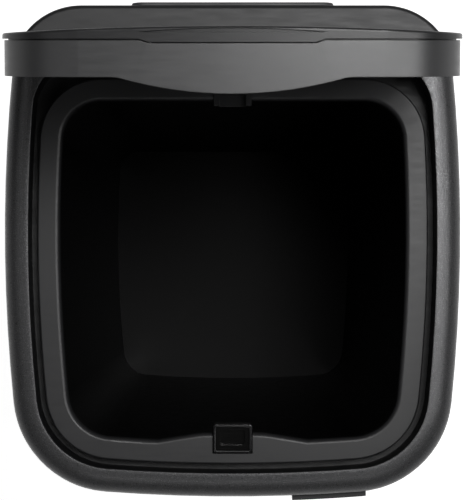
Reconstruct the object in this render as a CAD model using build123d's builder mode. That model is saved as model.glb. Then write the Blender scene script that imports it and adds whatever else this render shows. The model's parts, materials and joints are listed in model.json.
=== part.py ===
from build123d import *
import os

# Hand-operated kitchen compaction bin: steel body, plastic collar and base, lift-out bucket, bag ring,
# and a lid that carries a swing-down press. Millimetres, +Z up, front towards -Y, origin on the floor.
# The lid and all that it carries are modelled closed, then turned open about the hinge.

# Driving dimensions
body_width = 324.0
body_depth = 348.0
closed_height = 748.0
widest_y = 15.0
side_bow_radius = 1200.0
front_bow_radius = 1200.0
front_corner_radius = 71.0
rear_corner_radius = 50.0

# Steel body
shell_wall = 1.0
shoulder_width = 17.8
shoulder_round = 16.0
shoulder_setback = 38.0
shoulder_rear_corner = 36.0

# Base and foot ring
foot_height = 3.0
foot_groove = 3.0
foot_inset = 7.0
foot_width = 12.0
base_height = 30.0
spigot_height = 6.0
base_wall = 3.0
base_floor_z = 26.0
base_screw_margin_x = 52.0
base_screw_margin_y = 64.0

# Blank plate at the front right
badge_start = 42.5
badge_length = 52.5
badge_height = 18.0
badge_thickness = 3.8
badge_drop = 3.0

# Rear deck, which carries the hinge
deck_length = 36.0
deck_height = 30.0
deck_skin = 3.0
deck_front_wall = 13.0
cover_width = 143.0
cover_height = 94.0
cover_thickness = 2.3
cover_corner = 8.0

# Lid
lid_rise = 12.0
lid_crown = 5.8
flange_depth = 1.7
groove = 0.8
lid_gap = 0.9
flange_overhang = 1.2
lid_skin = 2.5
skirt_wall = 2.0
skirt_depth = 22.0
lobe_depth = 9.5
lobe_width = 134.0
lobe_blend = 22.0
thumb_lip_width = 96.0
thumb_lip_drop = 2.0
thumb_lip_slope = 6.0
thumb_lens_width = 110.0
thumb_lens_height = 2.4
thumb_lens_drop = 1.2
lid_setback = 41.0
lid_open_angle = 84.6
hinge_setback = 32.0
hinge_drop = 4.0
pin_radius = 3.0
knuckle_radius = 7.0
knuckle_start = 80.0
knuckle_length = 30.0
hinge_pin_overrun = 6.0
damper_length = 14.2
panel_thickness = 2.5
panel_drop = 6.5
ledge_width = 6.0
rebate = 2.0
filter_width = 20.0
filter_margin = 119.0
filter_slot_pitch = 8.0
door_pin_radius = 0.7
buffer_radius = 3.5
magnet_radius = 8.0
magnet_thickness = 1.1

# Clearances
seam = 0.3
loose_seam = 0.4
running_clearance = 0.05
cut_margin = 5.0

# Bag ring
ring_gap = 5.0
ring_width = 15.8
ring_setback = 50.6
ring_rear_corner = 44.0
ring_drop = 18.0
ring_plate = 6.0
lip_wall = 2.0
lip_depth = 5.0
ring_hinge_setback = 46.0
ring_hinge_drop = 8.0
ring_pin_radius = 2.0
ring_lug_start = 39.0
ring_lug_end = 59.0
ring_lug_radius = 3.5
ear_width = 5.0
ear_radius = 4.5
channel_depth = 18.0
channel_floor = 3.0
channel_wall_thickness = 2.3
collar_gap = 1.4
collar_wall = 2.2

# Latch and rear catch
latch_width = 28.0
latch_depth = 20.8
latch_overhang = 6.5
latch_height = 16.0
latch_wall = 1.6
latch_rise = 2.5
latch_pad_depth = 6.2
latch_pad_half = 70.0
button_recess = 2.0
button_height = 5.5
spring_turns = 4
spring_pitch = 1.35
spring_radius = 3.0
spring_wire = 0.55
catch_width = 26.8
catch_depth = 10.7
catch_height = 13.4
cheek = 4.0

# Bucket
bucket_wall = 2.0
bucket_floor = 2.5
bucket_draft = 9.0
bucket_setback = 11.0

# Press
press_side_clearance = 20.4
press_front_clearance = 26.0
frame_section = 6.0
frame_depth = 12.0
crossbar = 12.0
pivot_setback = 56.0
pivot_below_panel = 7.5
press_pin_radius = 2.5
lug_thickness = 5.0
lug_offset = 6.2
lug_radius = 6.5
eye_radius = 5.8
plate_thickness = 3.5
plate_lift = 0.5
plate_rib = 3.0
plate_slot_pitch_x = 44.0
plate_slot_pitch_y = 26.0
wiper_width = 9.0
wiper_thickness = 2.0
grip_width = 96.0
grip_front = 3.5

# Heights, insets and places worked out from the sizes above
rim_z = closed_height - lid_rise
hinge_z = rim_z - hinge_drop
front_y = -body_depth / 2
rear_y = body_depth / 2
shoulder_rear_y = rear_y - shoulder_setback
deck_front_y = rear_y - deck_length
lid_rear_y = rear_y - lid_setback
hinge_y = rear_y - hinge_setback
pivot_y = rear_y - pivot_setback
ring_rear_y = rear_y - ring_setback
ring_hinge_y = rear_y - ring_hinge_setback
lid_inset = shoulder_width + lid_gap
skirt_inset = lid_inset + flange_overhang
skirt_inner = skirt_inset + skirt_wall
flange_z = closed_height - lid_crown - flange_depth
skirt_z = flange_z - skirt_depth
panel_z = flange_z - panel_drop
ring_inset = shoulder_width + ring_gap
ring_z = rim_z - ring_drop
opening_inset = ring_inset + ring_width
channel_z = ring_z - channel_depth
bucket_inset = ring_inset + bucket_setback
skirt_half = body_width / 2 - skirt_inner
press_half_width = body_width / 2 - opening_inset - press_side_clearance
pivot_z = panel_z - pivot_below_panel
press_front_y = front_y + opening_inset + press_front_clearance
ring_hinge_z = ring_z - ring_hinge_drop
knuckle_end = knuckle_start + knuckle_length
damper_end = knuckle_end + hinge_pin_overrun + seam + damper_length
hinge_notch = 2 * (damper_end + 1.5)
hinge_axis = Axis((0, hinge_y, hinge_z), (1, 0, 0))


def outline(inset, rear_y, rear_radius):
    """Plan with bowed sides and front and a straight rear, inset from the body's outside."""
    half = body_width / 2
    with BuildSketch() as plan:
        with Locations((side_bow_radius - half, widest_y)):
            Circle(side_bow_radius - inset)
        with Locations((half - side_bow_radius, widest_y)):
            Circle(side_bow_radius - inset, mode=Mode.INTERSECT)
        with Locations((0, front_y + front_bow_radius)):
            Circle(front_bow_radius - inset, mode=Mode.INTERSECT)
        with Locations((0, rear_y)):
            Rectangle(2 * body_width, 3 * body_depth, align=(Align.CENTER, Align.MAX), mode=Mode.INTERSECT)
        fillet(plan.vertices().group_by(Axis.Y)[0], radius=front_corner_radius - inset)
        fillet(plan.vertices().group_by(Axis.Y)[-1], radius=rear_radius)
    return plan.sketch


def body_plan(inset):
    return outline(inset, body_depth / 2 - inset, rear_corner_radius - min(inset, 40))


def shoulder_plan(inset):
    grown = inset - shoulder_width
    return outline(inset, shoulder_rear_y - grown, shoulder_rear_corner - grown)


def lid_plan(inset):
    return outline(inset, lid_rear_y - (inset - lid_inset), shoulder_rear_corner - (inset - shoulder_width))


def ring_plan(inset):
    return outline(inset, ring_rear_y - (inset - ring_inset), ring_rear_corner - (inset - ring_inset))


def block(x0, x1, y0, y1, z0, z1):
    """A box between two corners, as a tool or a plain bar."""
    with BuildPart() as bar:
        with Locations(((x0 + x1) / 2, (y0 + y1) / 2, (z0 + z1) / 2)):
            Box(abs(x1 - x0), abs(y1 - y0), abs(z1 - z0))
    return bar.part


def rod(radius, x0, x1, y, z):
    """A round bar along X."""
    with BuildPart() as bar:
        with BuildSketch(Plane((x0, y, z), x_dir=(0, 1, 0), z_dir=(1, 0, 0))):
            Circle(radius)
        extrude(amount=x1 - x0)
    return bar.part


def crown(drop):
    """Everything under the crowned top of the lid, lowered by drop."""
    half = body_width / 2
    with BuildPart() as tool:
        with BuildSketch(Plane.XZ.offset(-body_depth)):
            with BuildLine():
                edge_z = closed_height - lid_crown - drop
                ThreePointArc((-half, edge_z), (0, closed_height - drop), (half, edge_z))
                Polyline((half, edge_z), (half, 0), (-half, 0), (-half, edge_z))
            make_face()
        extrude(amount=2 * body_depth)
    return tool.part


def screws(places, head_radius, head_height, shank_radius, shank_length):
    """Pan-head screws driven upwards; each place is where the head bears."""
    with BuildPart() as group:
        for x, y, z in places:
            with BuildSketch(Plane.XY.offset(z)):
                with Locations((x, y)):
                    Circle(head_radius)
            extrude(amount=-head_height)
            with BuildSketch(Plane.XY.offset(z)):
                with Locations((x, y)):
                    Circle(shank_radius)
            extrude(amount=shank_length)
    return group.part


outer = body_plan(0)
deck_room = block(-body_width, body_width, deck_front_y - seam, body_depth, rim_z - deck_height,
                  closed_height)

# Base: a plinth flush with the shell, a spigot inside it and a floor that the bucket stands on
base_screw_x, base_screw_y = body_width / 2 - base_screw_margin_x, body_depth / 2 - base_screw_margin_y
base_screw_places = [(x, y, base_floor_z - base_wall) for x in (-base_screw_x, base_screw_x)
                     for y in (-base_screw_y, base_screw_y)]
plinth_hollow = body_plan(base_wall)
foot_seat = body_plan(foot_inset + foot_width + cut_margin)
groove_outer, groove_inner = body_plan(foot_inset), body_plan(foot_inset + foot_width)
with BuildPart() as base_tray:
    with BuildSketch(Plane.XY.offset(foot_height)):
        add(outer)
    extrude(amount=base_height - foot_height)
    with BuildSketch(Plane.XY.offset(base_height)):
        add(body_plan(shell_wall + seam))
    extrude(amount=spigot_height)
    with BuildSketch(Plane.XY.offset(base_floor_z + base_wall)):
        add(body_plan(shell_wall + seam + base_wall))
    extrude(amount=base_height + spigot_height, mode=Mode.SUBTRACT)
    with BuildSketch(Plane.XY.offset(foot_height + 2 * base_wall)):
        add(plinth_hollow)
    extrude(amount=base_floor_z - foot_height - 2 * base_wall, mode=Mode.SUBTRACT)
    with BuildSketch(Plane.XY):
        add(foot_seat)
    extrude(amount=foot_height + 2 * base_wall, mode=Mode.SUBTRACT)
    with BuildSketch(Plane.XY.offset(foot_height)):
        add(groove_outer)
        add(groove_inner, mode=Mode.SUBTRACT)
    extrude(amount=foot_groove, mode=Mode.SUBTRACT)

with BuildPart() as foot_ring:
    with BuildSketch():
        add(body_plan(foot_inset + seam))
        add(body_plan(foot_inset + foot_width - seam), mode=Mode.SUBTRACT)
    extrude(amount=foot_height + foot_groove)
    chamfer(foot_ring.faces().sort_by(Axis.Z)[0].outer_wire().edges(), length=0.8)

# Steel body: one wall that rolls in over the shoulder; the rear is cut away for the deck
with BuildPart() as shell_core:
    with BuildSketch(Plane.XY.offset(base_height - 1)):
        add(body_plan(shell_wall))
    extrude(amount=rim_z - shell_wall - base_height + 1)
    fillet(shell_core.faces().sort_by(Axis.Z)[-1].edges(), radius=shoulder_round - shell_wall)

with BuildPart() as body_shell:
    with BuildSketch(Plane.XY.offset(base_height)):
        add(outer)
    extrude(amount=rim_z - base_height)
    fillet(body_shell.faces().sort_by(Axis.Z)[-1].edges(), radius=shoulder_round)
    add(shell_core.part, mode=Mode.SUBTRACT)
    with BuildSketch(Plane.XY.offset(rim_z - cut_margin)):
        add(shoulder_plan(shoulder_width))
        with Locations((0, hinge_y)):
            Rectangle(hinge_notch, 2 * (hinge_y - lid_rear_y + 1))
    extrude(amount=2 * cut_margin, mode=Mode.SUBTRACT)
    add(deck_room, mode=Mode.SUBTRACT)

# Collar: channel floor, channel wall under the shoulder and the wall that the bag ring sits on
wall_clip = block(-body_width, body_width, -body_depth, deck_front_y - seam, channel_z, rim_z)
with BuildPart() as channel_wall:
    with BuildSketch(Plane.XY.offset(channel_z)):
        add(shoulder_plan(shoulder_width - seam - channel_wall_thickness))
        add(shoulder_plan(shoulder_width - seam), mode=Mode.SUBTRACT)
    extrude(amount=rim_z - shell_wall - seam - channel_z)
    add(wall_clip, mode=Mode.INTERSECT)
    add(block(-hinge_notch / 2, hinge_notch / 2, 0, body_depth, hinge_z - knuckle_radius - 2, rim_z),
        mode=Mode.SUBTRACT)

collar_inset = ring_inset + lip_wall + collar_gap
ear_gap = 0.5
ear_starts = (ring_lug_start - ear_gap - ear_width, ring_lug_end + ear_gap)
with BuildPart() as top_collar:
    with BuildSketch(Plane.XY.offset(channel_z - channel_floor)):
        add(body_plan(shell_wall + loose_seam))
        add(ring_plan(bucket_inset - loose_seam), mode=Mode.SUBTRACT)
    extrude(amount=channel_floor)
    with BuildSketch(Plane.XY.offset(channel_z)):
        add(ring_plan(collar_inset))
        add(ring_plan(collar_inset + collar_wall), mode=Mode.SUBTRACT)
    extrude(amount=ring_z - ring_plate - loose_seam - channel_z)
    add(channel_wall.part)
    for side in (-1, 1):
        for start in ear_starts:
            near, far = sorted((side * start, side * (start + ear_width)))
            add(block(near, far, ring_hinge_y - ear_radius, ring_hinge_y + ear_radius, channel_z,
                      ring_hinge_z))
            add(rod(ear_radius, near, far, ring_hinge_y, ring_hinge_z))
    add(rod(ring_pin_radius + running_clearance, -body_width / 4, body_width / 4, ring_hinge_y,
            ring_hinge_z), mode=Mode.SUBTRACT)

# Rear deck: hinge block with a pocket for each lid knuckle, hollow behind
deck_clip = block(-body_width, body_width, deck_front_y, body_depth, rim_z - deck_height, rim_z)
with BuildPart() as rear_deck:
    with BuildSketch(Plane.XY.offset(rim_z - deck_height)):
        add(outer)
    extrude(amount=deck_height)
    fillet(rear_deck.faces().sort_by(Axis.Z)[-1].edges(), radius=deck_skin)
    add(deck_clip, mode=Mode.INTERSECT)
    with BuildSketch(Plane.XY.offset(rim_z - deck_height)):
        add(body_plan(deck_skin))
        with Locations((0, hinge_y + deck_front_wall)):
            Rectangle(2 * body_width, body_depth, align=(Align.CENTER, Align.MAX), mode=Mode.SUBTRACT)
    extrude(amount=deck_height - deck_skin, mode=Mode.SUBTRACT)
    for side in (-1, 1):
        near, far = sorted((side * (knuckle_start - hinge_pin_overrun),
                            side * (knuckle_end + hinge_pin_overrun)))
        add(rod(knuckle_radius - 1, near, far, hinge_y, hinge_z))
        add(block(side * (knuckle_start - ear_gap), side * (knuckle_end + ear_gap), 0,
                  hinge_y + knuckle_radius + 2, hinge_z - knuckle_radius - 2, closed_height),
            mode=Mode.SUBTRACT)
        add(rod(pin_radius + running_clearance, near, far, hinge_y, hinge_z), mode=Mode.SUBTRACT)
    add(rod(knuckle_radius + seam, knuckle_end + hinge_pin_overrun, damper_end + seam, hinge_y, hinge_z),
        mode=Mode.SUBTRACT)

# Soft-close damper: a barrel around the end of the right hinge pin
with BuildPart() as soft_close_damper:
    add(rod(knuckle_radius, damper_end - damper_length, damper_end, hinge_y, hinge_z))
    add(rod(pin_radius + running_clearance, knuckle_end, damper_end - 2.5, hinge_y, hinge_z),
        mode=Mode.SUBTRACT)

with BuildPart() as rear_cover:
    with BuildSketch(Plane.XZ.offset(-rear_y)):
        with Locations((0, rim_z - deck_skin - cover_height / 2)):
            RectangleRounded(cover_width, cover_height, cover_corner)
    extrude(amount=-cover_thickness)
    fillet(rear_cover.faces().sort_by(Axis.Y)[-1].edges(), radius=cover_thickness / 2)

# Blank plate on the front, set in a plan that follows the shell's bow
badge_top = rim_z - shoulder_round - badge_drop
badge_clip = block(badge_start, badge_start + badge_length, -body_depth, 0, 0, closed_height)
with BuildPart() as badge_plate:
    with BuildSketch(Plane.XY.offset(badge_top - badge_height)):
        add(outline(-badge_thickness, rear_y, rear_corner_radius))
        add(outline(-running_clearance, rear_y, rear_corner_radius), mode=Mode.SUBTRACT)
    extrude(amount=badge_height)
    add(badge_clip, mode=Mode.INTERSECT)

# Bucket: tapered, with a flange that rests on the collar's floor
bucket_z = base_floor_z + base_wall + loose_seam
with BuildPart() as bucket:
    with BuildSketch(Plane.XY.offset(channel_z)):
        add(ring_plan(bucket_inset))
    with BuildSketch(Plane.XY.offset(bucket_z)):
        add(ring_plan(bucket_inset + bucket_draft))
    loft()
    with BuildSketch(Plane.XY.offset(channel_z)):
        add(ring_plan(bucket_inset + bucket_wall))
    with BuildSketch(Plane.XY.offset(bucket_z + bucket_floor)):
        add(ring_plan(bucket_inset + bucket_wall + bucket_draft))
    loft(mode=Mode.SUBTRACT)
    with BuildSketch(Plane.XY.offset(channel_z)):
        add(ring_plan(collar_inset + collar_wall + loose_seam))
        add(ring_plan(bucket_inset + bucket_wall), mode=Mode.SUBTRACT)
    extrude(amount=bucket_wall)

# Bag ring: flat top, an outer lip over the collar's wall and an inner lip into the bucket's mouth
pad_front = front_y + opening_inset - lip_depth
pad_rear = front_y + opening_inset + latch_pad_depth
latch_y = pad_rear + latch_overhang - latch_depth / 2
catch_y = ring_rear_y - ring_width + catch_depth / 2 - 4
slip_fit = 0.2
with BuildSketch() as latch_pad:
    Polygon((-latch_pad_half, pad_front), (latch_pad_half, pad_front),
            (latch_pad_half - 4, pad_front + lip_depth - 0.8), (latch_width - 6, pad_rear),
            (6 - latch_width, pad_rear), (4 - latch_pad_half, pad_front + lip_depth - 0.8), align=None)
    fillet(latch_pad.vertices().group_by(Axis.Y)[-1], radius=60)
latch_cut = block(-latch_width / 2 - slip_fit, latch_width / 2 + slip_fit,
                  latch_y - latch_depth / 2 - slip_fit, latch_y + latch_depth, channel_z, rim_z)
catch_cut = block(-catch_width / 2 - slip_fit, catch_width / 2 + slip_fit, catch_y - 2 * catch_depth,
                  catch_y + catch_depth / 2, channel_z, rim_z)
with BuildPart() as bag_ring:
    with BuildSketch(Plane.XY.offset(ring_z - ring_plate)):
        add(ring_plan(ring_inset))
        add(ring_plan(opening_inset), mode=Mode.SUBTRACT)
        add(latch_pad.sketch)
    extrude(amount=ring_plate)
    fillet(bag_ring.faces().sort_by(Axis.Z)[-1].outer_wire().edges(), radius=1.2)
    fillet(bag_ring.faces().sort_by(Axis.Z)[-1].inner_wires()[0].edges(), radius=ring_plate / 2)
    with BuildSketch(Plane.XY.offset(ring_z - ring_plate)):
        add(ring_plan(ring_inset))
        add(ring_plan(ring_inset + lip_wall), mode=Mode.SUBTRACT)
        add(ring_plan(opening_inset - lip_wall))
        add(ring_plan(opening_inset), mode=Mode.SUBTRACT)
        add(latch_pad.sketch)
    extrude(amount=-lip_depth)
    for side in (-1, 1):
        near, far = sorted((side * ring_lug_start, side * ring_lug_end))
        add(block(near, far, ring_rear_y - lip_wall, ring_hinge_y, ring_hinge_z - 3, ring_hinge_z + 3))
        add(rod(ring_lug_radius, near, far, ring_hinge_y, ring_hinge_z))
    add(rod(ring_pin_radius + running_clearance, -body_width / 4, body_width / 4, ring_hinge_y,
            ring_hinge_z), mode=Mode.SUBTRACT)
    add(latch_cut, mode=Mode.SUBTRACT)
    add(catch_cut, mode=Mode.SUBTRACT)

with BuildPart() as ring_hinge_pins:
    for side in (-1, 1):
        near, far = sorted((side * (ear_starts[0] - 1.5), side * (ear_starts[1] + ear_width + 1.5)))
        add(rod(ring_pin_radius, near, far, ring_hinge_y, ring_hinge_z))

# Front latch: a raised frame with a push button on a spring
latch_top = ring_z + latch_rise
latch_floor_z = latch_top - latch_height + latch_wall
with BuildPart() as latch_frame:
    with BuildSketch(Plane.XY.offset(latch_top - latch_height)):
        with Locations((0, latch_y)):
            RectangleRounded(latch_width, latch_depth, 2)
    extrude(amount=latch_height)
    fillet(latch_frame.faces().sort_by(Axis.Z)[-1].edges(), radius=0.7)
    with BuildSketch(Plane.XY.offset(latch_floor_z)):
        with Locations((0, latch_y)):
            RectangleRounded(latch_width - 2 * latch_wall, latch_depth - 2 * latch_wall, 1.2)
    extrude(amount=latch_height, mode=Mode.SUBTRACT)

with BuildPart() as latch_button:
    with BuildSketch(Plane.XY.offset(latch_top - button_recess - button_height)):
        with Locations((0, latch_y)):
            RectangleRounded(latch_width - 2 * (latch_wall + seam), latch_depth - 2 * (latch_wall + seam),
                             1.0)
    extrude(amount=button_height)
    with BuildSketch(Plane.XY.offset(latch_top - button_recess)):
        with Locations((0, latch_y + 1)):
            RectangleRounded(latch_width - 11, latch_depth - 10, 2)
    extrude(amount=-2, mode=Mode.SUBTRACT)

with BuildPart() as latch_spring:
    for turn in range(spring_turns):
        with Locations((0, latch_y, latch_floor_z + 0.7 + spring_pitch * turn)):
            Torus(spring_radius, spring_wire)
    with Locations((0, latch_y, latch_floor_z + 3.2)):
        Cylinder(0.9, 5.2)
        Box(2 * spring_radius, 0.8, 5.0)

# Rear catch: a block on the ring with two cheeks and a recess that grips the spare bag
with BuildPart() as rear_catch:
    with Locations((0, catch_y - slip_fit / 2, ring_z - catch_height / 2 + 1.4)):
        Box(catch_width, catch_depth, catch_height)
    fillet(rear_catch.edges().filter_by(Axis.X), radius=1.2)
    with Locations((0, catch_y - 2.5, ring_z)):
        Box(catch_width - 2 * cheek, catch_depth, 9, mode=Mode.SUBTRACT)

# Lid top: crowned shell with a flange that overhangs the skirt, and a thumb lip at the front
front_half = body_depth / 4
lip_overlap = 0.5


def lip_band(margin):
    """The thumb lip's front outline, sloping at both ends, as a bar through the lid's front."""
    half, low = thumb_lip_width / 2 + margin, flange_z - thumb_lip_drop - margin
    end, top = half + thumb_lip_slope, flange_z + lip_overlap
    with BuildPart() as band:
        with BuildSketch(Plane.XZ.offset(front_half)) as profile:
            Polygon((-end, top), (-end, flange_z - margin), (-half, low), (half, low),
                    (end, flange_z - margin), (end, top), align=None)
            fillet(profile.vertices().group_by(Axis.Y)[0], radius=5)
        extrude(amount=body_depth)
    return band.part


thumb_lip_bar = lip_band(0)
thumb_lip_relief = lip_band(lip_overlap)
with BuildPart() as thumb_lip:
    with BuildSketch(Plane.XY.offset(flange_z - thumb_lip_drop)):
        add(lid_plan(lid_inset))
        add(lid_plan(skirt_inner - loose_seam), mode=Mode.SUBTRACT)
    extrude(amount=thumb_lip_drop + lip_overlap)
    add(thumb_lip_bar, mode=Mode.INTERSECT)

lens_z = closed_height - thumb_lens_drop - thumb_lens_height
with BuildPart() as lens_bar:
    with BuildSketch(Plane.XZ.offset(front_half)):
        with BuildLine():
            half = thumb_lens_width / 2
            ThreePointArc((-half, lens_z), (0, lens_z + thumb_lens_height), (half, lens_z))
            Line((half, lens_z), (-half, lens_z))
        make_face()
    extrude(amount=body_depth)
with BuildPart() as thumb_lens:
    with BuildSketch(Plane.XY.offset(flange_z)):
        add(lid_plan(lid_inset - 2))
        add(lid_plan(lid_inset + 1.1), mode=Mode.SUBTRACT)
    extrude(amount=lid_rise)
    add(lens_bar.part, mode=Mode.INTERSECT)

with BuildPart() as lid_cavity:
    with BuildSketch(Plane.XY.offset(flange_z)):
        add(lid_plan(skirt_inner + rebate))
    extrude(amount=lid_rise)
    add(crown(lid_skin), mode=Mode.INTERSECT)

rebate_depth = thumb_lip_drop - 0.2
with BuildPart() as lid_top:
    with BuildSketch(Plane.XY.offset(flange_z)):
        add(lid_plan(lid_inset))
    extrude(amount=2 * lid_rise)
    add(crown(0), mode=Mode.INTERSECT)
    fillet(lid_top.faces().sort_by(Axis.Z)[-1].edges(), radius=1.5)
    add(lid_cavity.part, mode=Mode.SUBTRACT)
    with BuildSketch(Plane.XY.offset(flange_z - rebate_depth)):
        add(lid_plan(skirt_inner + seam))
        add(lid_plan(skirt_inner + rebate), mode=Mode.SUBTRACT)
    extrude(amount=rebate_depth + lip_overlap)
    add(thumb_lip.part)
    add(thumb_lens.part, mode=Mode.SUBTRACT)

# Lid frame: the skirt, deeper in a smooth lobe at the front, a ledge, and the two hinge knuckles
lobe_bottom = skirt_z - lobe_depth
with BuildPart() as skirt_trim:
    with BuildSketch(Plane.XZ.offset(front_half)) as trim_profile:
        with BuildLine():
            half = lobe_width / 2
            Line((-body_width, skirt_z), (-half, skirt_z))
            ThreePointArc((-half, skirt_z), (0, lobe_bottom), (half, skirt_z))
            Polyline((half, skirt_z), (body_width, skirt_z), (body_width, channel_z),
                     (-body_width, channel_z), (-body_width, skirt_z))
        make_face()
        ends = trim_profile.vertices().filter_by_position(Axis.X, -half - 1, half + 1)
        fillet(ends, radius=lobe_blend)
    extrude(amount=body_depth)
    add(block(-body_width, body_width, -front_half, body_depth, channel_z, skirt_z))

frame_top = flange_z - groove
ledge_z = panel_z + panel_thickness + seam
with BuildPart() as lid_frame:
    with BuildSketch(Plane.XY.offset(lobe_bottom)):
        add(lid_plan(skirt_inset))
        add(lid_plan(skirt_inner), mode=Mode.SUBTRACT)
    extrude(amount=frame_top - lobe_bottom)
    add(skirt_trim.part, mode=Mode.SUBTRACT)
    with BuildSketch(Plane.XY.offset(ledge_z)):
        add(lid_plan(skirt_inner - lip_overlap))
        add(lid_plan(skirt_inner + ledge_width), mode=Mode.SUBTRACT)
    extrude(amount=flange_z - thumb_lip_drop - 0.2 - ledge_z)
    add(thumb_lip_relief, mode=Mode.SUBTRACT)
    for side in (-1, 1):
        low, high = sorted((side * knuckle_start, side * knuckle_end))
        add(block(low, high, lid_rear_y - 3, hinge_y, hinge_z - knuckle_radius + 0.5,
                  hinge_z + knuckle_radius - 2))
        add(rod(knuckle_radius, low, high, hinge_y, hinge_z))
        add(rod(pin_radius + running_clearance, low, high, hinge_y, hinge_z), mode=Mode.SUBTRACT)

with BuildPart() as hinge_pins:
    add(rod(pin_radius, knuckle_start - hinge_pin_overrun, damper_end - 3.5, hinge_y, hinge_z))
    add(rod(pin_radius, -knuckle_end - hinge_pin_overrun, hinge_pin_overrun - knuckle_start, hinge_y,
            hinge_z))

# Lid panel: closes the lid from below; it has a window for the odour filter at the right
filter_x = skirt_half - filter_width / 2 - 5.1
filter_length = body_depth - 2 * filter_margin
door_x = filter_x + filter_width / 2 - 2.5
door_z = panel_z + 0.8
screw_x, buffer_x = skirt_half - 14.1, skirt_half - 10.1
screw_front_y, screw_rear_y = front_y + 92, hinge_y - 66
buffer_front_y, buffer_rear_y = screw_front_y + 10, screw_rear_y - 10
panel_screw_places = [(x, y, panel_z) for x in (-screw_x, screw_x) for y in (screw_front_y, screw_rear_y)]
panel_screw_places += [(x, front_y + skirt_inner + 10.1, panel_z) for x in (-grip_width / 2, grip_width / 2)]
panel_screw_radius = 1.5
with BuildPart() as lid_panel:
    with BuildSketch(Plane.XY.offset(panel_z)):
        add(lid_plan(skirt_inner + seam))
        with Locations((filter_x, 0)):
            Rectangle(filter_width, filter_length, mode=Mode.SUBTRACT)
        for x, y, z in panel_screw_places:
            with Locations((x, y)):
                Circle(panel_screw_radius + slip_fit, mode=Mode.SUBTRACT)
    extrude(amount=panel_thickness)
    with BuildSketch(Plane.XZ.offset(-filter_length / 2 - 3)):
        with Locations((door_x, door_z)):
            Circle(door_pin_radius + running_clearance)
    extrude(amount=filter_length + 6, mode=Mode.SUBTRACT)

with BuildPart() as panel_screws:
    add(screws(panel_screw_places, 3.2, 1.6, panel_screw_radius, 4.5))

filter_thickness = 4.2
with BuildPart() as filter_pad:
    with BuildSketch(Plane.XY.offset(panel_z + panel_thickness + slip_fit)):
        with Locations((filter_x - 2, 0)):
            Rectangle(filter_width - 2, filter_length - 6)
    extrude(amount=filter_thickness)

# Filter door: slotted, hinged along its outer edge
with BuildPart() as filter_door:
    with BuildSketch(Plane.XY.offset(door_z - 1)):
        with Locations((filter_x - 1, 0)):
            Rectangle(filter_width - 3, filter_length - 1)
        with GridLocations(0, filter_slot_pitch, 1, int(filter_length / 10)):
            with Locations((filter_x - 2, 0)):
                SlotOverall(filter_width - 10, 3, mode=Mode.SUBTRACT)
    extrude(amount=2)
with BuildPart() as filter_door_pins:
    for side in (-1, 1):
        with BuildSketch(Plane.XZ.offset(-side * (filter_length / 2 - 0.5))):
            with Locations((door_x, door_z)):
                Circle(door_pin_radius)
        extrude(amount=-side * 3.0)

with BuildPart() as lid_buffers:
    for x in (-buffer_x, buffer_x):
        for y in (buffer_front_y, buffer_rear_y):
            with BuildSketch(Plane.XY.offset(panel_z)):
                with Locations((x, y)):
                    Circle(buffer_radius)
            extrude(amount=ring_z + 2 * seam - panel_z)

with BuildPart() as stow_magnet:
    with BuildSketch(Plane.XY.offset(panel_z)):
        with Locations((0, press_front_y + crossbar / 2)):
            Circle(magnet_radius)
    extrude(amount=-magnet_thickness)

# Press brackets on the panel: a pair of lugs beside each arm of the press frame
arm_x = press_half_width - frame_section / 2
bracket_foot = 1.4
press_pin_half = lug_offset + lug_thickness / 2 + 0.5
with BuildPart() as press_brackets:
    for side in (-1, 1):
        with BuildSketch(Plane.XY.offset(panel_z - bracket_foot)):
            with Locations((side * arm_x, pivot_y)):
                Rectangle(18, 22)
        extrude(amount=bracket_foot)
        for lug in (-1, 1):
            start_x = side * arm_x + lug * lug_offset - lug_thickness / 2
            with BuildSketch(Plane((start_x, pivot_y, pivot_z), x_dir=(0, 1, 0), z_dir=(1, 0, 0))):
                with Locations((0, pivot_below_panel / 2)):
                    Rectangle(2 * lug_radius, pivot_below_panel)
                Circle(lug_radius)
                Circle(press_pin_radius + running_clearance, mode=Mode.SUBTRACT)
            extrude(amount=lug_thickness)

with BuildPart() as press_pins:
    for side in (-1, 1):
        add(rod(press_pin_radius, side * arm_x - press_pin_half, side * arm_x + press_pin_half, pivot_y,
                pivot_z))

# Press frame: a U of steel flat bar, an eye at each end
frame_bottom = pivot_z - frame_depth / 2
eye_y = pivot_y + eye_radius
with BuildPart() as press_frame:
    with BuildSketch(Plane.XY.offset(frame_bottom)):
        with BuildLine():
            Polyline((-press_half_width, eye_y), (-press_half_width, press_front_y),
                     (press_half_width, press_front_y), (press_half_width, eye_y),
                     (press_half_width - frame_section, eye_y),
                     (press_half_width - frame_section, press_front_y + crossbar),
                     (frame_section - press_half_width, press_front_y + crossbar),
                     (frame_section - press_half_width, eye_y), close=True)
        make_face()
    extrude(amount=frame_depth)
    fillet(press_frame.edges().filter_by(Axis.Z).group_by(Axis.Y)[0], radius=frame_depth)
    fillet(press_frame.edges().filter_by(Axis.X).group_by(Axis.Y)[-1], radius=eye_radius - 0.1)
    add(rod(press_pin_radius + running_clearance, -body_width, body_width, pivot_y, pivot_z),
        mode=Mode.SUBTRACT)

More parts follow.
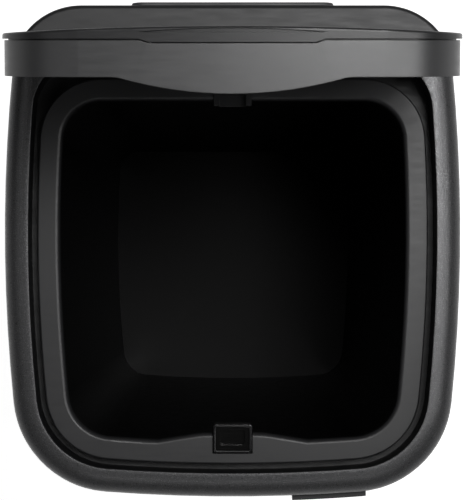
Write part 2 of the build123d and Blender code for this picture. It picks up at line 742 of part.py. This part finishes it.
# Press plate: fills the frame, ribbed above, with slots that let air out
plate_half = press_half_width - frame_section
plate_rear_y = pivot_y - 2 * crossbar
plate_front_y = press_front_y + crossbar
plate_mid_y = (plate_rear_y + plate_front_y) / 2
plate_length = plate_rear_y - plate_front_y
plate_z = frame_bottom + plate_lift
slot_rows = int(plate_length / (plate_slot_pitch_y + 5))
slot_columns = int(2 * plate_half / plate_slot_pitch_x)
with BuildPart() as press_plate:
    with BuildSketch(Plane.XY.offset(plate_z)):
        with Locations((0, plate_mid_y)):
            Rectangle(2 * plate_half, plate_length)
        with Locations((0, plate_mid_y)):
            with GridLocations(plate_slot_pitch_x, plate_slot_pitch_y, slot_columns, slot_rows):
                SlotOverall(30, 5, mode=Mode.SUBTRACT)
    extrude(amount=plate_thickness)
    with BuildSketch(Plane.XY.offset(plate_z + plate_thickness)):
        with Locations((0, plate_mid_y)):
            with GridLocations(plate_slot_pitch_x, 0, slot_columns + 1, 1):
                Rectangle(2.5, plate_length)
            with GridLocations(0, plate_length - plate_rib, 1, 2):
                Rectangle(2 * plate_half, plate_rib)
            with GridLocations(2 * plate_half - plate_rib, 0, 2, 1):
                Rectangle(plate_rib, plate_length)
    extrude(amount=2 * plate_rib)

with BuildPart() as press_wiper:
    with BuildSketch(Plane.XY.offset(frame_bottom + 3)) as wiper_plan:
        with BuildLine():
            Polyline((-press_half_width - wiper_width, plate_rear_y),
                     (-press_half_width - wiper_width, press_front_y - wiper_width),
                     (press_half_width + wiper_width, press_front_y - wiper_width),
                     (press_half_width + wiper_width, plate_rear_y), close=True)
        make_face()
        fillet(wiper_plan.vertices().group_by(Axis.Y)[0], radius=frame_depth + wiper_width)
        with Locations((0, plate_mid_y)):
            Rectangle(2 * press_half_width, plate_length, mode=Mode.SUBTRACT)
    extrude(amount=wiper_thickness)
    add(press_frame.part, mode=Mode.SUBTRACT)
    add(block(-grip_width / 2, grip_width / 2, press_front_y - grip_front, plate_front_y,
              frame_bottom, frame_bottom + frame_depth), mode=Mode.SUBTRACT)

with BuildPart() as press_grip:
    with Locations((0, press_front_y + crossbar / 2, frame_bottom + frame_depth / 2 - 2)):
        Box(grip_width, crossbar + 2 * grip_front, frame_depth + 4)
    fillet(press_grip.edges().filter_by(Axis.X), radius=4)
    add(block(-grip_width, grip_width, press_front_y, plate_front_y + crossbar,
              frame_bottom, frame_bottom + 2 * frame_depth), mode=Mode.SUBTRACT)

# Screw heads on the outer faces of the press frame
with BuildPart() as frame_screws:
    for side in (-1, 1):
        for y in (plate_mid_y - plate_length / 3, plate_mid_y + plate_length / 3):
            low, high = sorted((side * press_half_width, side * (press_half_width + 1.4)))
            add(rod(3.0, low, high, y, pivot_z + 2.5))

with BuildPart() as base_screws:
    add(screws(base_screw_places, 4.0, 2.0, 1.8, base_wall - 0.6))
for x, y, z in base_screw_places:
    base_tray.part = base_tray.part - Pos(x, y, z) * Cylinder(1.8 + slip_fit, 4 * base_wall)

# The lid and the press stand open
lid_pieces = [lid_top, lid_frame, lid_panel, panel_screws, filter_pad, filter_door, filter_door_pins,
              lid_buffers, stow_magnet, press_brackets, press_pins, press_frame, press_plate, press_wiper,
              press_grip, frame_screws, hinge_pins]
for piece in lid_pieces:
    piece.part = piece.part.rotate(hinge_axis, -lid_open_angle)

pieces = {
    "base_tray": base_tray, "foot_ring": foot_ring, "body_shell": body_shell, "top_collar": top_collar,
    "rear_deck": rear_deck, "soft_close_damper": soft_close_damper, "rear_cover": rear_cover,
    "badge_plate": badge_plate, "bucket": bucket, "base_screws": base_screws, "bag_ring": bag_ring,
    "ring_hinge_pins": ring_hinge_pins, "latch_frame": latch_frame, "latch_button": latch_button,
    "latch_spring": latch_spring, "rear_catch": rear_catch, "lid_top": lid_top, "lid_frame": lid_frame,
    "hinge_pins": hinge_pins, "lid_panel": lid_panel, "panel_screws": panel_screws,
    "filter_pad": filter_pad, "filter_door": filter_door, "filter_door_pins": filter_door_pins,
    "lid_buffers": lid_buffers, "stow_magnet": stow_magnet, "press_brackets": press_brackets,
    "press_pins": press_pins, "press_frame": press_frame, "press_plate": press_plate,
    "press_wiper": press_wiper, "press_grip": press_grip, "frame_screws": frame_screws,
}
os.makedirs("parts", exist_ok=True)
for name, piece in pieces.items():
    piece.part.label = name
    export_step(piece.part, f"parts/{name}.step")
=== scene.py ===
import json
import math

import bmesh
import bpy
from mathutils import Matrix, Vector


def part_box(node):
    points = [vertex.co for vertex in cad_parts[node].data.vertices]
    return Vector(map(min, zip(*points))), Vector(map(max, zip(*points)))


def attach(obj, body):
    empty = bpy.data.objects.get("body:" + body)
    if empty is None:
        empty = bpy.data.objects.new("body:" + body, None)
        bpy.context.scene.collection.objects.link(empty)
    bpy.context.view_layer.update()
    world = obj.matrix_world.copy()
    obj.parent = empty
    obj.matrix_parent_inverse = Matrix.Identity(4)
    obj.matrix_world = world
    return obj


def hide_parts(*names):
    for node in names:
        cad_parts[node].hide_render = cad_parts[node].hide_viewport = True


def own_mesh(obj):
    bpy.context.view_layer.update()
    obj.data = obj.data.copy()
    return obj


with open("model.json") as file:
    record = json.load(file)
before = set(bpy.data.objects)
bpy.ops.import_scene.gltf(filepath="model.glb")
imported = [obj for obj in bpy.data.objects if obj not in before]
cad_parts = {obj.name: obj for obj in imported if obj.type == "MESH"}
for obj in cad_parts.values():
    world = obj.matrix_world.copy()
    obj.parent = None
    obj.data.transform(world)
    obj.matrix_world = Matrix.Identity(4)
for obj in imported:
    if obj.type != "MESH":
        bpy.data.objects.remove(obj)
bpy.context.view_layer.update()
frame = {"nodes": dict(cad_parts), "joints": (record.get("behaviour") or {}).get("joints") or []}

nodes = frame["nodes"]
mm = 0.001
rim_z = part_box("body_shell")[1].z


# Materials: every one is procedural, in object coordinates, so that it moves with its piece

class Recipe:
    """A material under construction, with short calls for the nodes that these recipes share."""

    def __init__(self, name, color, roughness, metallic=0.0, specular=0.5):
        self.material = bpy.data.materials.new(name)
        self.material.use_nodes = True
        self.tree = self.material.node_tree
        self.shader = self.tree.nodes["Principled BSDF"]
        self.place = self.tree.nodes.new("ShaderNodeTexCoord").outputs["Object"]
        self.shader.inputs["Base Color"].default_value = (*color, 1)
        self.shader.inputs["Roughness"].default_value = roughness
        self.shader.inputs["Metallic"].default_value = metallic
        self.shader.inputs["Specular IOR Level"].default_value = specular

    def link(self, source, target):
        self.tree.links.new(source, target)

    def stretched(self, scale):
        mapping = self.tree.nodes.new("ShaderNodeMapping")
        mapping.inputs["Scale"].default_value = scale
        self.link(self.place, mapping.inputs["Vector"])
        return mapping.outputs["Vector"]

    def noise(self, scale, detail=2.0, place=None):
        node = self.tree.nodes.new("ShaderNodeTexNoise")
        node.inputs["Scale"].default_value = scale
        node.inputs["Detail"].default_value = detail
        self.link(place or self.place, node.inputs["Vector"])
        return node.outputs["Fac"]

    def ribs(self, scale):
        node = self.tree.nodes.new("ShaderNodeTexWave")
        node.bands_direction = "X"
        node.inputs["Scale"].default_value = scale
        node.inputs["Distortion"].default_value = 0.2
        self.link(self.place, node.inputs["Vector"])
        return node.outputs["Fac"]

    def ramp(self, source, stops):
        node = self.tree.nodes.new("ShaderNodeValToRGB")
        elements = node.color_ramp.elements
        while len(elements) < len(stops):
            elements.new(0.5)
        for element, (position, value) in zip(elements, stops):
            element.position = position
            element.color = (*value, 1) if isinstance(value, tuple) else (value, value, value, 1)
        self.link(source, node.inputs["Fac"])
        return node.outputs["Color"]

    def mix(self, factor, first, second):
        """A blend from first to second; each of the three is a socket or a value."""
        node = self.tree.nodes.new("ShaderNodeMix")
        node.data_type = "RGBA"
        color_sockets = (0, 6, 7)    # the node has others, under the same names, for its other data types
        for value, index in zip((factor, first, second), color_sockets):
            socket = node.inputs[index]
            if isinstance(value, bpy.types.NodeSocket):
                self.link(value, socket)
            else:
                socket.default_value = value
        return node.outputs[2]

    def worn_edges(self, low, high):
        """From 0 to 1 over the mesh's convex edges, where handling polishes a piece."""
        geometry = self.tree.nodes.new("ShaderNodeNewGeometry")
        return self.ramp(geometry.outputs["Pointiness"], [(low, 0.0), (high, 1.0)])

    def bump(self, height, strength, distance, edge_radius=0.7 * mm):
        """Surface relief over edges that are shaded as if rounded."""
        node = self.tree.nodes.new("ShaderNodeBump")
        node.inputs["Strength"].default_value = strength
        node.inputs["Distance"].default_value = distance
        self.link(height, node.inputs["Height"])
        edge = self.tree.nodes.new("ShaderNodeBevel")
        edge.samples = 4
        edge.inputs["Radius"].default_value = edge_radius
        self.link(edge.outputs["Normal"], node.inputs["Normal"])
        self.link(node.outputs["Normal"], self.shader.inputs["Normal"])

    def paint(self, color):
        self.link(color, self.shader.inputs["Base Color"])

    def rough(self, value):
        self.link(value, self.shader.inputs["Roughness"])


def powder_coat():
    """Graphite powder coat: dark ground, fine pale mica specks, orange-peel bump."""
    dark, light = (0.066, 0.066, 0.068), (0.082, 0.082, 0.085)
    mica, polished = (0.24, 0.24, 0.245, 1), (0.16, 0.16, 0.165, 1)
    r = Recipe("powder_coat", (0.02, 0.02, 0.021), 0.34, metallic=0.5, specular=0.7)
    ground = r.ramp(r.noise(scale=9.0, detail=4.0), [(0.3, dark), (0.75, light)])
    specks = r.ramp(r.noise(scale=2100.0, detail=1.0), [(0.58, 0.0), (0.76, 1.0)])
    flakes = r.mix(specks, ground, mica)
    r.paint(r.mix(r.worn_edges(low=0.56, high=0.68), flakes, polished))
    r.rough(r.ramp(r.noise(scale=700.0), [(0.3, 0.26), (0.7, 0.44)]))
    r.bump(r.noise(scale=1100.0), strength=0.45, distance=0.25 * mm, edge_radius=1.3 * mm)
    return r.material


def moulded(name, dark, light, grain, rough, strength=0.3, specular=0.5):
    """Moulded plastic: clouded tone, spark-eroded grain, faint handling marks that change its gloss.

    Its tone runs from dark to light, and its roughness between the two values of rough.
    """
    smoothest, roughest = rough
    r = Recipe(name, light, roughest, specular=specular)
    tone = r.ramp(r.noise(scale=9.0, detail=3.0), [(0.3, dark), (0.7, light)])
    pale = tuple(min(1.0, 1.8 * c + 0.012) for c in light)
    r.paint(r.mix(r.worn_edges(low=0.55, high=0.7), tone, (*pale, 1)))
    scuffs = r.noise(scale=55.0, detail=8.0, place=r.stretched((1.0, 6.0, 1.0)))
    r.rough(r.ramp(scuffs, [(0.3, smoothest), (0.75, roughest)]))
    r.bump(r.noise(scale=grain, detail=3.0), strength=strength, distance=0.12 * mm)
    return r.material


def gloss(name, color, roughness, specular=0.55):
    """Polished black plastic with a slight ripple, hairline scratches and a film of dust."""
    dust = (0.022, 0.0215, 0.021, 1)
    r = Recipe(name, color, roughness, specular=specular)
    film = r.ramp(r.noise(scale=30.0, detail=9.0), [(0.55, 0.0), (0.85, 0.12)])
    r.paint(r.mix(film, (*color, 1), dust))
    hair = r.noise(scale=90.0, detail=6.0, place=r.stretched((1.0, 22.0, 3.0)))
    r.rough(r.ramp(hair, [(0.4, roughness), (0.75, roughness + 0.08)]))
    r.bump(r.noise(scale=24.0, detail=1.0), strength=0.05, distance=0.4 * mm)
    return r.material


def rubber(name, rib_scale=None):
    """Matt rubber with a bloom of dust; rib_scale adds fine ribs across the grip."""
    black, bloom = (0.012, 0.012, 0.012), (0.03, 0.029, 0.028)
    r = Recipe(name, (0.016, 0.016, 0.016), 0.78, specular=0.35)
    r.paint(r.ramp(r.noise(scale=60.0, detail=6.0), [(0.35, black), (0.75, bloom)]))
    r.rough(r.ramp(r.noise(scale=220.0, detail=3.0), [(0.3, 0.68), (0.7, 0.9)]))
    grain = r.noise(scale=1600.0)
    if rib_scale is None:
        r.bump(grain, strength=0.4, distance=0.1 * mm)
    else:
        r.bump(r.mix(0.15, r.ribs(rib_scale), grain), strength=0.8, distance=0.7 * mm)
    return r.material


def zinc():
    """Zinc-plated steel, drawn along its length, with a few dull patches."""
    dull, bright = (0.40, 0.40, 0.41), (0.58, 0.58, 0.6)
    r = Recipe("zinc_steel", (0.5, 0.5, 0.51), 0.32, metallic=1.0)
    r.paint(r.ramp(r.noise(scale=35.0, detail=5.0), [(0.3, dull), (0.7, bright)]))
    drawn = r.noise(scale=60.0, detail=4.0, place=r.stretched((2.0, 40.0, 40.0)))
    r.rough(r.ramp(drawn, [(0.3, 0.22), (0.7, 0.46)]))
    r.bump(drawn, strength=0.15, distance=0.08 * mm)
    return r.material


def felt():
    """Carbon felt: matted fibres in two sizes."""
    gap, fibre = (0.008, 0.008, 0.009), (0.05, 0.05, 0.054)
    r = Recipe("carbon_felt", (0.02, 0.02, 0.022), 0.95, specular=0.1)
    fine = r.noise(scale=1900.0, detail=8.0)
    coarse = r.noise(scale=500.0, detail=4.0)
    r.paint(r.ramp(fine, [(0.35, gap), (0.7, fibre)]))
    r.bump(r.mix(0.5, fine, coarse), strength=0.9, distance=0.5 * mm)
    return r.material


finish = {
    "shell": powder_coat(),
    "collar": moulded("collar_plastic", dark=(0.003, 0.003, 0.0035), light=(0.005, 0.005, 0.006),
                      grain=1500.0, rough=(0.38, 0.55)),
    "base": moulded("base_plastic", dark=(0.012, 0.012, 0.012), light=(0.02, 0.02, 0.021),
                    grain=1300.0, rough=(0.5, 0.7), strength=0.5),
    "ring": moulded("ring_plastic", dark=(0.017, 0.017, 0.018), light=(0.024, 0.024, 0.0255),
                    grain=2600.0, rough=(0.37, 0.44), strength=0.2),
    "skirt": moulded("skirt_plastic", dark=(0.018, 0.018, 0.019), light=(0.024, 0.024, 0.025),
                     grain=2600.0, rough=(0.32, 0.38), strength=0.2, specular=0.9),
    "deck": moulded("deck_plastic", dark=(0.014, 0.014, 0.015), light=(0.018, 0.018, 0.019),
                    grain=2200.0, rough=(0.42, 0.5), strength=0.25),
    "cover": moulded("cover_plastic", dark=(0.045, 0.045, 0.047), light=(0.06, 0.06, 0.063),
                     grain=2200.0, rough=(0.4, 0.55), strength=0.25),
    # the lid's black (also on the badge) is raised above the other gloss blacks: a painted highlight over
    # its crown and flange
    "lid": gloss("lid_gloss_painted_highlight", color=(0.020, 0.020, 0.021), roughness=0.3),
    # the bucket's black is pushed almost to nothing, with its specular cut down: painted shade for the deep
    # inside of the bin, which the top lamp lights directly
    "bucket": gloss("bucket_gloss_painted_shade", color=(0.0012, 0.0012, 0.0014), roughness=0.3, specular=0.12),
    "button": gloss("button_gloss", color=(0.004, 0.004, 0.004), roughness=0.09),
    "bezel": gloss("bezel_gloss", color=(0.004, 0.004, 0.0045), roughness=0.14),
    "rim_line": moulded("rim_line_plastic", dark=(0.010, 0.010, 0.011), light=(0.016, 0.016, 0.017),
                        grain=2600.0, rough=(0.34, 0.48), strength=0.15),
    "press": moulded("press_plastic", dark=(0.035, 0.035, 0.037), light=(0.055, 0.055, 0.058),
                     grain=1500.0, rough=(0.4, 0.6), strength=0.35),
    "rubber": rubber("rubber"),
    "grip": rubber("ribbed_rubber", rib_scale=90.0),
    "steel": zinc(),
    "felt": felt(),
}

node_finish = {
    "shell": ["body_shell"],
    "collar": ["top_collar", "lid_panel", "filter_door", "filter_door_pins", "rear_catch"],
    "base": ["base_tray", "soft_close_damper"],
    "ring": ["bag_ring"],
    "skirt": ["lid_frame"],
    "deck": ["rear_deck"],
    "cover": ["rear_cover"],
    "lid": ["lid_top", "badge_plate"],
    "bucket": ["bucket"],
    "button": ["latch_button"],
    "bezel": ["latch_frame"],
    "press": ["press_plate", "press_brackets"],
    "rubber": ["foot_ring", "lid_buffers", "press_wiper"],
    "grip": ["press_grip"],
    "steel": ["base_screws", "ring_hinge_pins", "latch_spring", "hinge_pins", "panel_screws", "stow_magnet",
              "press_pins", "press_frame", "frame_screws"],
    "felt": ["filter_pad"],
}


def dress(obj, material):
    """Gives an object one material in place of those it has."""
    obj.data.materials.clear()
    obj.data.materials.append(material)


for kind, names in node_finish.items():
    for name in names:
        dress(nodes[name], finish[kind])


# Detailed pieces that stand for plain CAD solids, or sit on them

def mesh_object(name, material, body, shape):
    """An object made of a finished bmesh, which rides on a body."""
    smooth_up_to = math.radians(35)
    bmesh.ops.recalc_face_normals(shape, faces=shape.faces)
    mesh = bpy.data.meshes.new(name)
    shape.to_mesh(mesh)
    shape.free()
    mesh.shade_smooth()
    mesh.set_sharp_from_angle(angle=smooth_up_to)
    obj = bpy.data.objects.new(name, mesh)
    bpy.context.scene.collection.objects.link(obj)
    dress(obj, material)
    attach(obj, body)
    return obj


def islands(obj):
    """The separate solids of a node, each as a list of its vertices' places, sorted by centre."""
    same_place = 0.001 * mm
    shape = bmesh.new()
    shape.from_mesh(obj.data)
    bmesh.ops.remove_doubles(shape, verts=shape.verts, dist=same_place)
    left, found = set(shape.verts), []
    for start in shape.verts:
        if start not in left:
            continue
        left.remove(start)
        stack, members = [start], []
        while stack:
            vert = stack.pop()
            members.append(vert.co.copy())
            for edge in vert.link_edges:
                other = edge.other_vert(vert)
                if other in left:
                    left.remove(other)
                    stack.append(other)
        found.append(members)
    shape.free()
    return sorted(found, key=lambda m: tuple(round(c, 4) for c in sum(m, Vector()) / len(m)))


def join_rings(shape, rings):
    """Faces between each ring of vertices and the next."""
    for a, b in zip(rings, rings[1:]):
        for k in range(len(a)):
            m = (k + 1) % len(a)
            shape.faces.new((a[k], a[m], b[m], b[k]))


def sweep_loop(shape, points, section):
    """A closed bar along a loop of (point, outward normal); section lists (offset outwards, height)."""
    rings = []
    for outward, height in section:
        rings.append([shape.verts.new((p + n * outward).to_3d() + Vector((0, 0, height)))
                      for p, n in points])
    join_rings(shape, rings + rings[:1])


def rounded_rectangle(centre, half_x, half_y, radius, steps=8):
    """Points and outward normals around a rectangle with round corners."""
    points = []
    for quarter, (sx, sy) in enumerate(((1, 1), (-1, 1), (-1, -1), (1, -1))):
        corner = Vector((centre[0] + sx * (half_x - radius), centre[1] + sy * (half_y - radius)))
        for k in range(steps + 1):
            turn = math.pi / 2 * (quarter + k / steps)
            out = Vector((math.cos(turn), math.sin(turn)))
            points.append((corner + out * radius, out))
    return points


def latch_rim():
    """The thin grey line that stands around the latch's well."""
    low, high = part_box("latch_frame")
    centre = ((low.x + high.x) / 2, (low.y + high.y) / 2)
    wall, corner = 1.6 * mm, 1.2 * mm
    points = rounded_rectangle(centre, (high.x - low.x) / 2 - wall, (high.y - low.y) / 2 - wall, corner)
    # its section in millimetres: (out from the wall, above the top of the frame)
    section = [(-0.25, -1.2), (-0.25, -0.15), (-0.1, 0.0), (0.3, 0.05), (0.35, -0.5), (0.05, -1.2)]
    shape = bmesh.new()
    sweep_loop(shape, points, [(out * mm, high.z + up * mm) for out, up in section])
    mesh_object("latch_rim_line", finish["rim_line"], "ring", shape)


def latch_coil():
    """A helical wire spring under the button, its turns drawn closer at both ends."""
    low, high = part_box("latch_spring")
    centre = (low + high) / 2
    wire = 0.42 * mm
    turns, steps_per_turn, sides = 5, 28, 10
    end_closing = 0.9
    radius = (high.x - low.x) / 2 - wire
    rise = high.z - low.z - 2 * wire
    path = []
    for k in range(turns * steps_per_turn + 1):
        along = k / (turns * steps_per_turn)
        eased = along - math.sin(2 * math.pi * along) / (2 * math.pi) * end_closing
        turn = 2 * math.pi * turns * along
        path.append(Vector((centre.x + radius * math.cos(turn), centre.y + radius * math.sin(turn),
                            low.z + wire + rise * eased)))
    shape = bmesh.new()
    rings = []
    for k, point in enumerate(path):
        ahead = (path[min(k + 1, len(path) - 1)] - path[max(k - 1, 0)]).normalized()
        out = Vector((point.x - centre.x, point.y - centre.y, 0)).normalized()
        up = ahead.cross(out).normalized()
        rings.append([shape.verts.new(point + wire * (out * math.cos(2 * math.pi * n / sides)
                                                      + up * math.sin(2 * math.pi * n / sides)))
                      for n in range(sides)])
    join_rings(shape, rings)
    shape.faces.new(rings[0])
    shape.faces.new(list(reversed(rings[-1])))
    coil = mesh_object("latch_coil", finish["steel"], "ring", shape)
    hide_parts("latch_spring")
    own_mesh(coil)


def cross_screws(node, body, head_radius, out):
    """Pan-head screws with a cross recess in place of a node's plain ones; out points from shank to head."""
    shape = bmesh.new()
    out = Vector(out).normalized()
    spin = out.to_track_quat("Z", "Y").to_matrix().to_4x4()
    sides = 32
    turns = [2 * math.pi * k / sides for k in range(sides)]
    shank = 0.46 * head_radius
    tallest_head = 1.6 * mm
    narrow, arm = 0.42, 0.58                  # the recess's reach between arms, and what an arm adds
    recess = [(0.5, 0.02), (0.22, 0.42)]      # (share of the head's radius, share of its height)
    for members in islands(nodes[node]):
        reach = [m.dot(out) for m in members]
        length = max(reach) - min(reach)
        centre = sum(members, Vector()) / len(members)
        head_top = centre + out * (max(reach) - centre.dot(out))
        head = min(tallest_head, 0.6 * length)
        to_place = Matrix.Translation(head_top) @ spin

        def ring(radii, z):
            """Vertices around the screw's axis at a height above its head's top."""
            return [shape.verts.new(to_place @ Vector((r * math.cos(t), r * math.sin(t), z)))
                    for r, t in zip(radii, turns)]

        profile = [(shank, -length), (shank, -head), (head_radius, -head), (head_radius, -0.5 * head),
                   (0.88 * head_radius, -0.18 * head), (0.66 * head_radius, 0.0)]
        rings = [ring([radius] * sides, z) for radius, z in profile]
        lobes = [narrow + arm * abs(math.cos(2 * t)) ** 3 for t in turns]
        for share, depth in recess:
            rings.append(ring([head_radius * share * lobe for lobe in lobes], -depth * head))
        join_rings(shape, rings)
        shape.faces.new(list(reversed(rings[0])))
        shape.faces.new(rings[-1])
    made = mesh_object(node + "_detailed", finish["steel"], body, shape)
    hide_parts(node)


latch_rim()
latch_coil()
# The lid stands open at rest, so its underside, where the panel screws' heads are, faces forward
lid_joint = next(j for j in frame["joints"] if j["name"] == "lid_hinge")
open_angle = math.radians(max(lid_joint["range_deg"]))
lid_under = (0, -math.sin(open_angle), -math.cos(open_angle))
cross_screws("panel_screws", "lid", head_radius=3.2 * mm, out=lid_under)
cross_screws("base_screws", "bin", head_radius=4.0 * mm, out=(0, 0, -1))


# Stage: a pale floor, soft lights and a camera straight above

def make_floor():
    """A pale floor that glows where the camera sees it, and less farther out."""
    half = 40.0                               # so wide that low views don't show its edge
    light, lightest = (0.88, 0.88, 0.88), (0.92, 0.92, 0.92)
    near, far = (0.3, 0.92), (1.0, 0.3)       # (distance from the object's axis, glow)
    mesh = bpy.data.meshes.new("floor")
    mesh.from_pydata([(-half, -half, 0), (half, -half, 0), (half, half, 0), (-half, half, 0)], [],
                     [(0, 1, 2, 3)])
    floor = bpy.data.objects.new("floor", mesh)
    bpy.context.scene.collection.objects.link(floor)
    r = Recipe("floor", (0.9, 0.9, 0.9), 0.8, specular=0.2)
    r.paint(r.ramp(r.noise(scale=3.0), [(0.3, light), (0.7, lightest)]))
    distance = r.tree.nodes.new("ShaderNodeVectorMath")
    distance.operation = "LENGTH"
    r.link(r.place, distance.inputs[0])
    glow = r.ramp(distance.outputs["Value"], [near, far])
    r.link(glow, r.shader.inputs["Emission Color"])
    r.shader.inputs["Emission Strength"].default_value = 1.0
    dress(floor, r.material)


def soft_light(name, place, target, size, power):
    """A rectangular lamp, size across and along in metres, turned to its target; power in watts."""
    data = bpy.data.lights.new(name, "AREA")
    data.shape = "RECTANGLE"
    data.size, data.size_y = size
    data.energy = power
    lamp = bpy.data.objects.new(name, data)
    lamp.location = place
    lamp.rotation_euler = (Vector(target) - Vector(place)).to_track_quat("-Z", "Y").to_euler()
    bpy.context.scene.collection.objects.link(lamp)


def world_light(strength):
    """White light from all around."""
    world = bpy.data.worlds.new("studio")
    world.use_nodes = True
    background = world.node_tree.nodes["Background"]
    background.inputs["Color"].default_value = (1, 1, 1, 1)
    background.inputs["Strength"].default_value = strength
    bpy.context.scene.world = world


def camera_above(place, height, seen):
    """A camera that looks straight down from height over the rim, where its long side covers seen."""
    data = bpy.data.cameras.new("camera")
    data.sensor_fit = "AUTO"
    data.sensor_width = 36.0
    data.lens = data.sensor_width * height / seen
    data.clip_end = 50
    camera = bpy.data.objects.new("camera", data)
    camera.location = (*place, rim_z + height)
    bpy.context.scene.collection.objects.link(camera)
    bpy.context.scene.camera = camera


make_floor()
rim_centre = (0.0, 0.0, rim_z)
side_height = rim_z + 1.5
soft_light("top_box", (0.36, 0.42, rim_z + 2.0), rim_centre, size=(0.7, 0.6), power=19)
soft_light("right_box", (1.2, 0.1, side_height), rim_centre, size=(0.6, 1.2), power=9)
soft_light("left_box", (-1.2, 0.1, side_height), rim_centre, size=(0.6, 1.2), power=1)
soft_light("front_box", (0.1, -1.3, side_height), rim_centre, size=(1.2, 0.6), power=2)
world_light(strength=0.03)
camera_above(place=(1.0 * mm, 1.3 * mm), height=1.58, seen=0.3522)
bpy.context.scene.view_settings.view_transform = "Standard"
